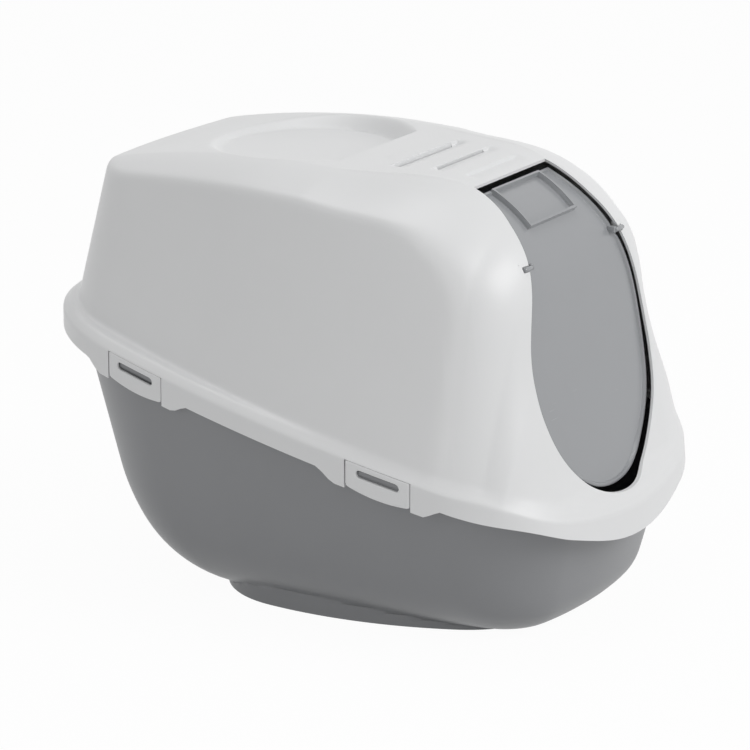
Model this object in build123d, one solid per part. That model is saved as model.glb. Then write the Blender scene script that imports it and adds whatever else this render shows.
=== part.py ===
"""Hooded litter box: tub, lift-off hood, swing door, four side clips and a roof filter.

Millimetres.  +Z is up, the floor is z = 0, the door faces -Y and X runs across the box.
The joint between hood and tub (the rim) rises from front to rear.
"""
import os
from math import cos, radians, sin, sqrt, tan

from build123d import *

# ---- driving dimensions -------------------------------------------------------------
RIM_LENGTH = 656.0          # over the hood's rim band, front to rear
RIM_WIDTH = 486.0           # over the hood's rim band, side to side
RIM_ROUND = (1274.0, 542.0, 140.0)      # radii of the rim's sides, ends and corners
RIM_HEIGHT = 233.0          # bead on top of the band, at mid length
RIM_SLOPE = 0.225           # the rim's rise towards the rear
RIM_LOW = 40.0              # the rim's solids run past its lowest
RIM_HIGH = 340.0            # and highest points
RIM_DIP_START = 240.0       # forward of this the rim dips towards the lip
RIM_DIP = 27.0              # how far the lip lies below the straight rim line
WALL = 3.0                  # moulded wall thickness
SEAT_GAP = 0.3              # play between faces of separate pieces

BAND_HEIGHT = 20.0          # depth of the band below the bead
BAND_HEIGHT_AT_CLIP = 31.0
BAND_RAMP = 16.0            # length of each ramp from one depth to the other
LIP_HEIGHT = 100.0          # lower edge of the front lip above the floor
LIP_CURVE = [(0.79, 52.0), (0.9, 39.0), (0.965, 20.0)]     # share of the half length, rise above the lip
LEDGE_RISE = 9.0            # shoulder between the band and the hood's wall
LEDGE_WIDTH = 18.0
SKIRT_DEPTH = 8.0           # hood's seat on the tub, below the bead

WALL_HALF_WIDTH = 229.0     # hood wall, at WALL_LEVEL above the floor
WALL_FRONT = 306.0
WALL_REAR = 327.0
WALL_LEVEL = 240.0
WALL_FRONT_ROUND = (1100.0, 500.0, 90.0)
WALL_REAR_ROUND = (1274.0, 590.0, 120.0)
WALL_DRAFT = 13.0           # degrees
WALL_LOW = 60.0             # the tapered wall solid starts below the rim
ABOVE_ROOF = 520.0          # and ends above the roof

# hood's centre line from the lip over the roof to the rear, as (y, z)
ROOF_LINE = [(-313, 90), (-306, 143), (-294, 181), (-284, 220), (-273, 265), (-264, 318),
             (-250, 390), (-215, 438), (-166, 468), (-60, 477), (30, 480), (150, 474),
             (230, 462), (335, 438)]
DECK_HALF_WIDTH = 95.0      # flat strip along the roof line
SHOULDER_SLOPE = 0.09       # fall of the shoulders beside the strip
SHOULDER_CURVE = 0.0027

# doorway: half width at each height, from the sill upwards
SILL_HEIGHT = 144.7
DOORWAY = [(36, 150), (83, 181), (111, 220), (123, 265), (121, 318), (98, 397), (87, 430),
           (78, 456), (75, 470)]
DOORWAY_TOP_Y = -166.0      # cross edge of the deck above the door
DOOR_SIDE_GAP = 3.0
DOOR_RECESS = 9.0           # door face behind the hood's face
DOOR_RIM = 5.0              # width of the raised edge round the door
DOOR_RIM_RISE = 2.5
DOOR_RELIEF = 9.0           # the door's edge is cut back beside each pin, to clear the hood
PAD_HALF_WIDTH = 50.0       # raised finger frame near the top of the door
PAD_BOTTOM = 424.0
PAD_TOP = 461.0
PAD_RIM = 4.0
PAD_RISE = 4.0
PIVOT_HEIGHT = 397.0
PIVOT_Y = -244.5
PIVOT_RADIUS = 2.5
PIVOT_REACH = 9.0           # length of each pin inside the hood
PIVOT_BOSS = 6.0

CLIP_CENTRES = {"front": -146.0, "rear": 155.0}
CLIP_LENGTH = 72.0
CLIP_HEIGHT = 32.0
CLIP_GAP = 1.2
CLIP_TOP_GAP = 0.9
CLIP_BOW = 4.0              # the clip's lower edge bows down by this
CLIP_AXIS_INSET = 5.5       # hinge line inside the band's face
CLIP_AXIS_DROP = 5.5        # hinge line below the bead
CLIP_BARREL = 2.2
CLIP_SWING = 7.6            # clear radius round the hinge line
CLIP_PIN = 1.5
CLIP_PIN_REACH = 4.0
SOCKET_LIFT = 0.3           # underside of a pin's socket above the seat
SLOT_LENGTH = 48.0
SLOT_HEIGHT = 8.0
SLOT_DROP = 11.0            # slot centre below the bead
LUG_LENGTH = 44.0
LUG_BACKSET = WALL + 0.6     # lug stops just behind the clip

TUB_HALF_WIDTH = 203.0      # tub wall, at TUB_LEVEL above the floor
TUB_FRONT = 304.0
TUB_REAR = 263.0
TUB_LEVEL = 110.0
TUB_ROUND = (1180.0, 500.0, 120.0)
TUB_DRAFT = 13.5            # degrees
TUB_HIGH = 345.0            # the tub's wall solid ends above the rim
BOWL_ROUND = (88.0, 52.0, 165.0)        # rounding of the lower edge at sides, front and rear
BOWL_CORNER = 40.0          # smallest corner radius of the bowl's outline, at its bottom
BOWL_LEVELS = (0, 1, 4, 9, 17, 28, 42, 60, 80, 110, 150)
FLANGE_HEIGHT = 5.0
FLANGE_CLEARANCE = 1.5
FOOT_HALF_WIDTH = 166.0
FOOT_FRONT = 245.0
FOOT_REAR = 145.0
FOOT_ROUND = (420.0, 260.0, 110.0)
FOOT_HEIGHT = 24.0
FOOT_DRAFT = 10.0           # degrees

SCOOP_HALF_WIDTH = 115.0    # hand recess in the rear of the roof
SCOOP_FRONT = 0.0
SCOOP_REAR = 195.0
SCOOP_FLOOR = 463.0
SCOOP_DRAFT = 16.0
GROOVES = [(-60.0, 68.0, 5.0), (-105.0, 58.0, 3.0), (-142.0, 52.0, 3.0)]  # y, half length, depth
GROOVE_WIDTH = 16.0

FILTER_LENGTH = 94.0        # carbon pad, front to rear
FILTER_WIDTH = 110.0
FILTER_THICKNESS = 10.0
FILTER_CENTRE_Y = -78.0
FILTER_TOP = 464.0
FILTER_PLAY = 1.0
GRILLE_THICKNESS = 3.0
GRILLE_BARS = 9
GRILLE_SLOT = 6.0
GRILLE_PIN = 1.5
GRILLE_BARREL = 2.5
EAR_SETBACK = 8.0
EAR_WIDTH = 5.0
COLLAR = 3.0
VENT_WIDTH = 2.5
VENT_MARGIN = 20.0
PIN_PLAY = 0.3
PIVOT_PLAY = 0.3

# ---- worked out from the above ------------------------------------------------------
HALF_LENGTH = RIM_LENGTH / 2
HALF_WIDTH = RIM_WIDTH / 2
BIG = 2 * RIM_LENGTH
DOOR_PIVOT_X = 98.0
GRILLE_TOP = FILTER_TOP - FILTER_THICKNESS - SEAT_GAP
COLLAR_LOW = GRILLE_TOP
COLLAR_HEIGHT = 40.0
GRILLE_AXIS_Y = FILTER_CENTRE_Y + FILTER_LENGTH / 2 + FILTER_PLAY + COLLAR + GRILLE_BARREL + 1
GRILLE_AXIS_Z = GRILLE_TOP - GRILLE_THICKNESS / 2


def bead(y):
    """Height of the straight part of the rim's bead."""
    return RIM_HEIGHT + RIM_SLOPE * y


def rim_x(y):
    """Half width of the rim's oval at y, on its long side arc."""
    side = RIM_ROUND[0]
    return HALF_WIDTH - side + sqrt(side * side - y * y)


def half_oval(half_width, length, rounding, facing):
    """Front or rear half of an oval: two side arcs and an end arc with rounded corners."""
    side, end, corner = rounding
    shape = Pos(half_width - side, 0) * Circle(side) & Pos(side - half_width, 0) * Circle(side)
    shape &= Pos(0, facing * (length - end)) * Circle(end)
    shape &= Pos(0, facing * length) * Rectangle(4 * half_width, 2 * length)
    tips = [v for v in shape.vertices() if facing * v.Y > 1]
    return fillet(tips, corner)


def oval(size, front_round, rear_round, grow=0.0):
    """Oval of tangent arcs from (half width, front, rear), grown all round by grow."""
    half_width, front, rear = (length + grow for length in size)
    front_round = tuple(radius + grow for radius in front_round)
    rear_round = tuple(radius + grow for radius in rear_round)
    front_half = half_oval(half_width, front, front_round, -1)
    return front_half + half_oval(half_width, rear, rear_round, 1)


def drafted(size, rounds, level, low, high, draft, inset=0.0):
    """Tapered solid from low to high with the given oval at level, narrowing upwards."""
    faces = []
    for height in (low, high):
        grow = (level - height) * tan(radians(draft)) - inset
        faces.append(Pos(0, 0, height) * oval(size, *rounds, grow))
    return loft(faces, ruled=True)


def rim_prism(inset=0.0):
    """Upright solid on the rim's oval, drawn in by inset."""
    size = (HALF_WIDTH, HALF_LENGTH, HALF_LENGTH)
    outline = Pos(0, 0, RIM_LOW) * oval(size, RIM_ROUND, RIM_ROUND, -inset)
    return extrude(outline, RIM_HIGH - RIM_LOW)


def across(face, half=BIG / 2):
    """Side-view face pushed across the whole width."""
    return extrude(face, half, dir=(1, 0, 0), both=True)


def side_view(points):
    return [(0, y, z) for y, z in points]


def below_rim(drop, lip_drop=None):
    """Everything under the bead line lowered by drop, dipping to the lip at the front."""
    lip_drop = drop if lip_drop is None else lip_drop
    rear = (BIG / 2, bead(BIG / 2) - drop)
    start = (-RIM_DIP_START, bead(-RIM_DIP_START) - drop)
    lip = (-HALF_LENGTH, bead(-HALF_LENGTH) - RIM_DIP - lip_drop)
    far = (-BIG / 2, lip[1] - (BIG / 2 - HALF_LENGTH))
    run = Line(*side_view([rear, start]))
    dip = Spline(*side_view([start, lip]), tangents=[(0, -1, -RIM_SLOPE), (0, -1, -0.85)])
    rest = Polyline(*side_view([lip, far, (-BIG / 2, -BIG / 2), (BIG / 2, -BIG / 2), rear]))
    return across(make_face(run + dip + rest))


def band_floor():
    """Everything under the lower edge of the band."""
    points = [(BIG / 2, bead(BIG / 2) - BAND_HEIGHT)]
    for centre in sorted(CLIP_CENTRES.values(), reverse=True):
        for side in (1, -1):
            edge = centre + side * (CLIP_LENGTH / 2 + BAND_RAMP)
            ramp = edge + side * BAND_RAMP
            near = (edge, bead(edge) - BAND_HEIGHT_AT_CLIP)
            away = (ramp, bead(ramp) - BAND_HEIGHT)
            points += [away, near] if side > 0 else [near, away]
    lip = [(-share * HALF_LENGTH, LIP_HEIGHT + rise) for share, rise in LIP_CURVE]
    lip.append((-HALF_LENGTH, LIP_HEIGHT))
    curve = Spline(*side_view([points[-1]] + lip))
    front = (-BIG / 2, LIP_HEIGHT)
    run = Polyline(*side_view(points))
    rest = Polyline(*side_view([lip[-1], front, (-BIG / 2, -BIG), (BIG / 2, -BIG), points[0]]))
    return across(make_face(run + curve + rest))


# ---- hood form ----------------------------------------------------------------------
def roof_points(inset):
    """Roof line moved square to itself by inset."""
    moved = []
    for index, (y, z) in enumerate(ROOF_LINE):
        before = ROOF_LINE[max(index - 1, 0)]
        after = ROOF_LINE[min(index + 1, len(ROOF_LINE) - 1)]
        dy, dz = after[0] - before[0], after[1] - before[1]
        size = sqrt(dy * dy + dz * dz)
        moved.append((y + inset * dz / size, z - inset * dy / size))
    return moved


def roof_face(x, inset):
    """Side-view section of the hood at x."""
    points = [(x, y, z) for y, z in roof_points(inset)]
    low = -BIG / 8
    rest = Polyline(points[-1], (x, points[-1][1], low), (x, points[0][1], low), points[0])
    return make_face(Spline(*points) + rest)


def roof_form(inset):
    """Solid under the roof line: a flat strip with shoulders falling away at both sides."""
    strip = extrude(roof_face(0, inset), DECK_HALF_WIDTH, dir=(1, 0, 0), both=True)
    sections = []
    for step in range(3):
        out = (HALF_WIDTH + 10 - DECK_HALF_WIDTH) * step / 2
        fall = SHOULDER_SLOPE * out + SHOULDER_CURVE * out * out
        sections.append(roof_face(DECK_HALF_WIDTH + out, inset + fall))
    shoulder = loft(sections)
    return strip + shoulder + mirror(shoulder, Plane.YZ)


def wall_form(inset):
    """Tapered solid inside the hood's side and rear walls."""
    size = (WALL_HALF_WIDTH, WALL_FRONT, WALL_REAR)
    rounds = (WALL_FRONT_ROUND, WALL_REAR_ROUND)
    return drafted(size, rounds, WALL_LEVEL, WALL_LOW, ABOVE_ROOF, WALL_DRAFT, inset)


def scoop_form(grow):
    """Oval hand recess in the roof, straight across at the handle bar."""
    floor = SCOOP_FLOOR - grow
    radius = SCOOP_HALF_WIDTH + grow
    bowl = Cone(radius - SCOOP_DRAFT, radius + SCOOP_DRAFT, 2 * SCOOP_DRAFT)
    bowl = Pos(0, SCOOP_REAR - SCOOP_HALF_WIDTH, floor + SCOOP_DRAFT) * bowl
    keep = Pos(0, SCOOP_FRONT - grow + BIG / 2, 0) * Box(BIG, BIG, BIG)
    return bowl & keep


def groove_form(y, half_length, depth, grow):
    """Shallow step across the deck, steep at the rear and fading forwards."""
    top = deck_height(y)
    section = make_face(Polyline(*side_view([
        (y + grow, top + 20), (y + grow, top - depth - grow), (y - 3 - grow, top - depth - grow),
        (y - GROOVE_WIDTH - grow, top - grow), (y - GROOVE_WIDTH - grow, top + 20),
        (y + grow, top + 20)])))
    return extrude(section, half_length + grow, dir=(1, 0, 0), both=True)


def deck_height(y):
    """Height of the roof line at y, on the chord between its points."""
    for (y0, z0), (y1, z1) in zip(ROOF_LINE, ROOF_LINE[1:]):
        if y0 <= y <= y1:
            return z0 + (z1 - z0) * (y - y0) / (y1 - y0)
    return ROOF_LINE[-1][1]


# ---- doorway and door ---------------------------------------------------------------
def doorway_prism(inset, top, y_from, y_to):
    """Doorway outline in front view, drawn in by inset and run from y_from to y_to."""
    sill = SILL_HEIGHT + inset
    right = []
    for index, (x, z) in enumerate(DOORWAY):
        before = DOORWAY[index - 1] if index else (0, SILL_HEIGHT)
        after = DOORWAY[min(index + 1, len(DOORWAY) - 1)]
        dx, dz = after[0] - before[0], after[1] - before[1]
        size = sqrt(dx * dx + dz * dz)
        right.append((x - inset * dz / size, y_from, z + inset * dx / size))
    left = [(-x, y, z) for x, y, z in reversed(right)]
    curve = Spline(*left, (0, y_from, sill), *right)
    cap = Polyline(right[-1], (right[-1][0], y_from, top), (left[0][0], y_from, top), left[0])
    return extrude(make_face(curve + cap), y_to - y_from, dir=(0, 1, 0))


def door_skin(outer, inner):
    """Bent sheet that follows the roof line between two depths below it."""
    high = [p for p in roof_points(outer) if p[0] < DOORWAY_TOP_Y + 80]
    low = [p for p in roof_points(inner) if p[0] < DOORWAY_TOP_Y + 80]
    edge = Spline(*side_view(high))
    back = Spline(*side_view(low))
    ends = Line(*side_view([high[0], low[0]])) + Line(*side_view([high[-1], low[-1]]))
    return across(make_face(edge + back + ends), HALF_WIDTH)


def make_door():
    top_y = DOORWAY_TOP_Y - DOOR_SIDE_GAP
    outline = doorway_prism(DOOR_SIDE_GAP, ABOVE_ROOF, -BIG / 4, top_y)
    window = doorway_prism(DOOR_SIDE_GAP + DOOR_RIM, ABOVE_ROOF, -BIG / 4, top_y - DOOR_RIM)
    sheet = door_skin(DOOR_RECESS, DOOR_RECESS + WALL) & outline
    rim = (door_skin(DOOR_RECESS - DOOR_RIM_RISE, DOOR_RECESS + WALL) & outline) - window
    pad_mid = (PAD_TOP + PAD_BOTTOM) / 2
    pad_size = PAD_TOP - PAD_BOTTOM
    frame = Pos(0, 0, pad_mid) * Box(2 * PAD_HALF_WIDTH, BIG, pad_size)
    frame -= Pos(0, 0, pad_mid) * Box(2 * (PAD_HALF_WIDTH - PAD_RIM), BIG, pad_size - 2 * PAD_RIM)
    pad = door_skin(DOOR_RECESS - PAD_RISE, DOOR_RECESS + 1) & outline & frame
    door = sheet + rim + pad
    inner_x = DOOR_PIVOT_X - DOOR_SIDE_GAP - DOOR_RIM
    for side in (-1, 1):
        pin_length = DOOR_RIM + DOOR_SIDE_GAP + PIVOT_REACH
        place = Pos(side * (inner_x + pin_length / 2), PIVOT_Y, PIVOT_HEIGHT) * Rot(0, 90, 0)
        relief = Pos(side * (inner_x + DOOR_RELIEF), PIVOT_Y, PIVOT_HEIGHT)
        door -= relief * Box(2 * (DOOR_RELIEF - DOOR_RIM + 1), BIG / 20, 2 * PIVOT_REACH)
        door += place * Cylinder(PIVOT_RADIUS, pin_length)
        knuckle = Pos(side * inner_x, PIVOT_Y + 4, PIVOT_HEIGHT)
        door += knuckle * Box(DOOR_RIM, 9, 2 * PIVOT_RADIUS + 2)
    return door


# ---- side clips ---------------------------------------------------------------------
def clip_frame(centre, side):
    """Hinge line of a clip: a plane whose x axis runs along the hinge and z points outwards."""
    x0, x1 = rim_x(centre - 1), rim_x(centre + 1)
    along = Vector((x1 - x0) / 2, side, side * RIM_SLOPE).normalized()
    outwards = Vector(side, -(x1 - x0) / 2, 0).normalized()
    outwards = (outwards - along * outwards.dot(along)).normalized()
    at = Vector(side * rim_x(centre), centre, bead(centre) - CLIP_AXIS_DROP)
    return Plane(origin=at - outwards * CLIP_AXIS_INSET, x_dir=along, z_dir=outwards)


def y_slab(centre, length):
    return Pos(0, centre, 0) * Box(BIG, length, BIG)


def half_space(side):
    return Pos(side * BIG / 2, 0, 0) * Box(BIG, BIG, BIG)


def hinge_rod(frame, radius, length):
    return frame * (Rot(0, 90, 0) * Cylinder(radius, length))


def make_clip(centre, side):
    frame = clip_frame(centre, side)
    here = y_slab(centre, CLIP_LENGTH) & half_space(side)
    shell = rim_prism() - rim_prism(WALL)
    plate = shell & here & below_rim(CLIP_TOP_GAP)
    depth = CLIP_HEIGHT - CLIP_AXIS_DROP
    sag = CLIP_LENGTH ** 2 / 8 / CLIP_BOW
    bow = Pos(0, sag - depth, 0) * Cylinder(sag, BIG)
    above = Pos(0, 2 * CLIP_HEIGHT - depth + CLIP_BOW, 0) * Box(2 * CLIP_LENGTH, 4 * CLIP_HEIGHT, BIG)
    turned = Plane(origin=frame.origin, x_dir=frame.x_dir, z_dir=frame.z_dir)
    plate &= turned * (bow + above)
    slot_drop = SLOT_DROP - CLIP_AXIS_DROP
    slot = SlotOverall(SLOT_LENGTH, SLOT_HEIGHT)
    plate -= turned * (Pos(0, -slot_drop, -BIG / 40) * extrude(slot, BIG / 20))
    barrel_length = CLIP_LENGTH - 2 * CLIP_GAP
    clip = plate + hinge_rod(frame, CLIP_BARREL, barrel_length)
    web = Box(barrel_length, 2 * CLIP_BARREL - 0.4, CLIP_AXIS_INSET - WALL + 1)
    clip += frame * (Pos(0, 0, (CLIP_AXIS_INSET - WALL + 1) / 2) * web)
    clip += hinge_rod(frame, CLIP_PIN, CLIP_LENGTH + 2 * CLIP_PIN_REACH)
    return clip


# ---- hood ---------------------------------------------------------------------------
def rim_band():
    """Solid band with a chamfered ledge on top, between the band's lower edge and the wall."""
    block = rim_prism() & below_rim(-LEDGE_RISE, 0)
    tops = [face for face in block.faces() if face.normal_at().Z > 0.3]
    joint_y = -RIM_DIP_START
    outline = [edge for face in tops for edge in face.edges() if abs(edge.center().X) > 1
               and abs(edge.center().Y - joint_y) > 1 or abs(edge.center().Y) > HALF_LENGTH - 1]
    return chamfer(outline, LEDGE_RISE, LEDGE_RISE) - band_floor()


def clip_window(centre, side):
    """Room in the hood for a clip, its barrel and its swing."""
    frame = clip_frame(centre, side)
    opening = CLIP_LENGTH + 2 * CLIP_GAP
    window = (rim_prism(-BIG / 100) - rim_prism(WALL + 1)) & below_rim(0.3)
    window &= y_slab(centre, opening) & half_space(side)
    swing = hinge_rod(frame, CLIP_SWING, opening + CLIP_HEIGHT)
    return window + (swing & y_slab(centre, opening + 2 * CLIP_GAP))


def clip_socket(centre, side, end):
    """Block beside a clip, between band and ledge, that holds one hinge pin."""
    frame = clip_frame(centre, side)
    length = CLIP_PIN_REACH + 2 + CLIP_GAP
    size = SKIRT_DEPTH - WALL
    middle = end * (CLIP_LENGTH + length) / 2
    drop = CLIP_AXIS_DROP - SKIRT_DEPTH + SOCKET_LIFT + size / 2
    block = Pos(middle, drop, -0.5) * Box(length, size, 2 * (CLIP_AXIS_INSET - WALL) + 3)
    return frame * block - y_slab(centre, CLIP_LENGTH + 2 * CLIP_GAP)


def pivot_place(side, x):
    return Pos(side * x, PIVOT_Y, PIVOT_HEIGHT) * Rot(0, 90, 0)


def filter_collar():
    """Frame under the roof that the filter pad and its grille sit in."""
    outer = Box(FILTER_WIDTH + 2 * COLLAR, FILTER_LENGTH + 2 * COLLAR, COLLAR_HEIGHT)
    inner = Box(FILTER_WIDTH + 2 * FILTER_PLAY, FILTER_LENGTH + 2 * FILTER_PLAY, COLLAR_HEIGHT)
    return Pos(0, FILTER_CENTRE_Y, COLLAR_LOW + COLLAR_HEIGHT / 2) * (outer - inner)


def grille_ear(side):
    """Ear behind the collar with the hole for one of the grille's pins."""
    x = side * (FILTER_WIDTH / 2 - EAR_SETBACK)
    height = COLLAR_LOW - GRILLE_AXIS_Z + GRILLE_BARREL + 4
    low = GRILLE_AXIS_Z - GRILLE_BARREL - 1
    ear = Pos(x, GRILLE_AXIS_Y, low + height / 2) * Box(EAR_WIDTH, 2 * GRILLE_BARREL + 4, height)
    hole = Pos(x, GRILLE_AXIS_Y, GRILLE_AXIS_Z) * Rot(0, 90, 0)
    return ear - hole * Cylinder(GRILLE_PIN + PIN_PLAY, EAR_WIDTH)


def make_hood():
    outer = wall_form(0)
    body = (outer & roof_form(0)) - below_rim(SKIRT_DEPTH) - scoop_form(0)
    hollow = (wall_form(WALL) & roof_form(WALL)) - scoop_form(WALL)
    for y, half_length, depth in GROOVES:
        body -= groove_form(y, half_length, depth, 0)
        hollow -= groove_form(y, half_length, depth, WALL)
    inside_band = rim_prism(WALL)
    channel = (inside_band & below_rim(WALL)) - outer
    channel &= Pos(0, BIG / 2 - RIM_DIP_START, 0) * Box(BIG, BIG, BIG)
    hood = (body + rim_band()) - hollow - (inside_band & below_rim(SKIRT_DEPTH)) - channel
    hood += filter_collar() & (body - below_rim(0))
    for side in (-1, 1):
        hood += grille_ear(side)
        boss = pivot_place(side, DOOR_PIVOT_X + 3 + PIVOT_REACH / 2)
        hood += (boss * Cylinder(PIVOT_BOSS, PIVOT_REACH + 2)) & body
    hood -= doorway_prism(0, ABOVE_ROOF, -BIG / 2, DOORWAY_TOP_Y)
    for side in (-1, 1):
        hole = pivot_place(side, DOOR_PIVOT_X + PIVOT_REACH / 2 - 1.5)
        hood -= hole * Cylinder(PIVOT_RADIUS + PIVOT_PLAY, PIVOT_REACH + 4)
        for centre in CLIP_CENTRES.values():
            hood -= clip_window(centre, side)
            for end in (-1, 1):
                hood += clip_socket(centre, side, end)
            rod = hinge_rod(clip_frame(centre, side), CLIP_PIN + PIN_PLAY,
                            CLIP_LENGTH + 2 * CLIP_PIN_REACH + 1)
            hood -= rod
    for y, half_length, depth in GROOVES[:2]:
        slit = Box(2 * half_length - VENT_MARGIN, VENT_WIDTH, 30)
        hood -= Pos(0, y - VENT_WIDTH / 2 - 0.5, deck_height(y)) * slit
    return hood


def make_filter_pad():
    pad = Box(FILTER_WIDTH, FILTER_LENGTH, FILTER_THICKNESS)
    return Pos(0, FILTER_CENTRE_Y, FILTER_TOP - FILTER_THICKNESS / 2) * pad


def make_filter_grille():
    """Slotted plate under the pad, hinged at the rear and latched at the front."""
    plate = Box(FILTER_WIDTH, FILTER_LENGTH, GRILLE_THICKNESS)
    pitch = FILTER_WIDTH / GRILLE_BARS
    for step in range(GRILLE_BARS - 1):
        x = (step - (GRILLE_BARS - 2) / 2) * pitch
        plate -= Pos(x, 0, 0) * Box(GRILLE_SLOT, FILTER_LENGTH - 4 * GRILLE_SLOT, GRILLE_THICKNESS)
    grille = Pos(0, FILTER_CENTRE_Y, GRILLE_TOP - GRILLE_THICKNESS / 2) * plate
    ear_x = FILTER_WIDTH / 2 - EAR_SETBACK
    length = 2 * ear_x - EAR_WIDTH - 2 * CLIP_GAP
    axis = Pos(0, GRILLE_AXIS_Y, GRILLE_AXIS_Z) * Rot(0, 90, 0)
    grille += axis * Cylinder(GRILLE_BARREL, length)
    grille += axis * Cylinder(GRILLE_PIN, 2 * ear_x + EAR_WIDTH)
    rear = FILTER_CENTRE_Y + FILTER_LENGTH / 2
    arm = Box(length, GRILLE_AXIS_Y - rear + 4, GRILLE_THICKNESS)
    grille += Pos(0, (GRILLE_AXIS_Y + rear - 4) / 2, GRILLE_TOP - GRILLE_THICKNESS / 2) * arm
    return grille


# ---- tub ----------------------------------------------------------------------------
def bowl_size(z, inset):
    """Half width, front and rear of the tub at height z: drafted above, rounded below."""
    sizes = []
    for length, radius in zip((TUB_HALF_WIDTH, TUB_FRONT, TUB_REAR), BOWL_ROUND):
        draft = radians(TUB_DRAFT)
        wall = length + (z - TUB_LEVEL) * tan(draft) - inset
        middle = length + (radius - TUB_LEVEL) * tan(draft) - radius / cos(draft)
        curve = middle + sqrt(max((radius - inset) ** 2 - (radius - z) ** 2, 0))
        sizes.append(wall if z > radius * (1 - sin(draft)) else curve)
    return sizes


def bowl_form(inset):
    """Tub's drafted wall with its rounded lower edge, in rings."""
    faces = []
    for level in [inset + rise for rise in BOWL_LEVELS] + [TUB_HIGH]:
        size = bowl_size(level, inset)
        grow = size[0] - TUB_HALF_WIDTH
        side, end, corner = (radius + grow for radius in TUB_ROUND)
        rounding = (side, end, max(corner, BOWL_CORNER))
        faces.append(Pos(0, 0, level) * oval(size, rounding, rounding))
    return loft(faces, ruled=True)


def foot_form(inset):
    """Oval foot under the tub."""
    size = (FOOT_HALF_WIDTH, FOOT_FRONT, FOOT_REAR)
    return drafted(size, (FOOT_ROUND, FOOT_ROUND), 0, 0, FOOT_HEIGHT - inset, FOOT_DRAFT, inset)


def make_tub():
    rim = below_rim(SKIRT_DEPTH + SEAT_GAP)
    shell = (bowl_form(0) & rim) + foot_form(0)
    edge = WALL + FLANGE_CLEARANCE
    flange = (rim_prism(edge) & rim) - below_rim(SKIRT_DEPTH + SEAT_GAP + FLANGE_HEIGHT)
    above_floor = Pos(0, 0, WALL + BIG / 2) * Box(BIG, BIG, BIG)
    tub = (shell + flange) - (bowl_form(WALL) & above_floor) - (foot_form(WALL) & above_floor)
    reach = CLIP_AXIS_INSET - LUG_BACKSET
    root = LEDGE_WIDTH - 8
    lug = Box(LUG_LENGTH, FLANGE_HEIGHT - 1, reach + root - CLIP_AXIS_INSET)
    drop = SKIRT_DEPTH + SEAT_GAP + FLANGE_HEIGHT / 2 - CLIP_AXIS_DROP
    for centre in CLIP_CENTRES.values():
        for side in (-1, 1):
            place = Pos(0, -drop, (reach - root + CLIP_AXIS_INSET) / 2)
            tub += clip_frame(centre, side) * (place * lug)
    return tub


def main():
    parts = {"tub": make_tub(), "hood": make_hood(), "swing_door": make_door(),
             "filter_pad": make_filter_pad(), "filter_grille": make_filter_grille()}
    for row, centre in CLIP_CENTRES.items():
        for hand, side in (("left", -1), ("right", 1)):
            parts[f"{row}_{hand}_clip"] = make_clip(centre, side)
    os.makedirs("parts", exist_ok=True)
    for name, shape in parts.items():
        export_step(shape, f"parts/{name}.step")


if __name__ == "__main__":
    main()
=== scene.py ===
# %% [markdown]
# # A hooded litter box, dressed for the camera
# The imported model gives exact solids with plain, sharp faces.  This lesson builds the soft
# moulded skins that belong on them: a light hood, a dark tub, a smoked swing door and four clips.
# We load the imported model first, because every skin has to sit where its solid is and move with it.

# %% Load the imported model
import math
import bmesh
import bpy
import numpy as np
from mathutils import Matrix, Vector
from mathutils.geometry import delaunay_2d_cdt


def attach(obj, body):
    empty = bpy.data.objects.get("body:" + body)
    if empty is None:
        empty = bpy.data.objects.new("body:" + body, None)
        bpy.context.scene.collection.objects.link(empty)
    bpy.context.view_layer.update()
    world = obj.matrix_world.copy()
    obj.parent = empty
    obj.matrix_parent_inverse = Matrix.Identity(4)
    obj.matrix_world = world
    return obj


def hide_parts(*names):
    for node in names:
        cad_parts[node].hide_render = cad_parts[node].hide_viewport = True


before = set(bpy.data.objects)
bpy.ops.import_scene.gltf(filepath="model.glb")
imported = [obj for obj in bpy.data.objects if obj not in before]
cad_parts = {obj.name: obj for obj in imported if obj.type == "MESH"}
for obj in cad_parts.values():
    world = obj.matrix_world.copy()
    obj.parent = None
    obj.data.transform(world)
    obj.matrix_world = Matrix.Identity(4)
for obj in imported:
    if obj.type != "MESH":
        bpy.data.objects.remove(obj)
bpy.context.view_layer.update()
MM = 0.001
print("solids:", sorted(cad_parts))

# %% [markdown]
# Every plan outline of this box is an oval of tangent arcs: two sides, two ends and four corners.
# A superellipse would be shorter to write, but it has no true radii, so the skins would drift off
# the solids.  We ask the arcs two things: how far out is the oval in a given direction, and how
# far outside it does a point lie.

# %% Ovals of tangent arcs, in millimetres
RIM_OVAL = ((243, 328, 328), (1274, 542, 140), (1274, 542, 140))
WALL_OVAL = ((229, 306, 327), (1100, 500, 90), (1274, 590, 120))
TUB_OVAL = ((203, 304, 263), (1180, 500, 120), (1180, 500, 120))
FOOT_OVAL = ((166, 245, 145), (420, 260, 110), (420, 260, 110))
GROW_STEP = 60.0


def quarter_arcs(half_width, length, rounding):
    """Centres of a quarter oval's side, end and corner arcs, and the angles where they meet."""
    side, end, corner = rounding
    a, b = np.array([half_width - side, 0.0]), np.array([0.0, length - end])
    gap = np.linalg.norm(b - a)
    u = (b - a) / gap
    reach = ((side - corner) ** 2 - (end - corner) ** 2 + gap ** 2) / (2 * gap)
    off = math.sqrt((side - corner) ** 2 - reach ** 2)
    c = a + u * reach + np.array([-u[1], u[0]]) * off
    return a, b, c, math.atan2(c[1], c[0] - a[0]), math.atan2(c[1] - b[1], c[0])


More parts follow.
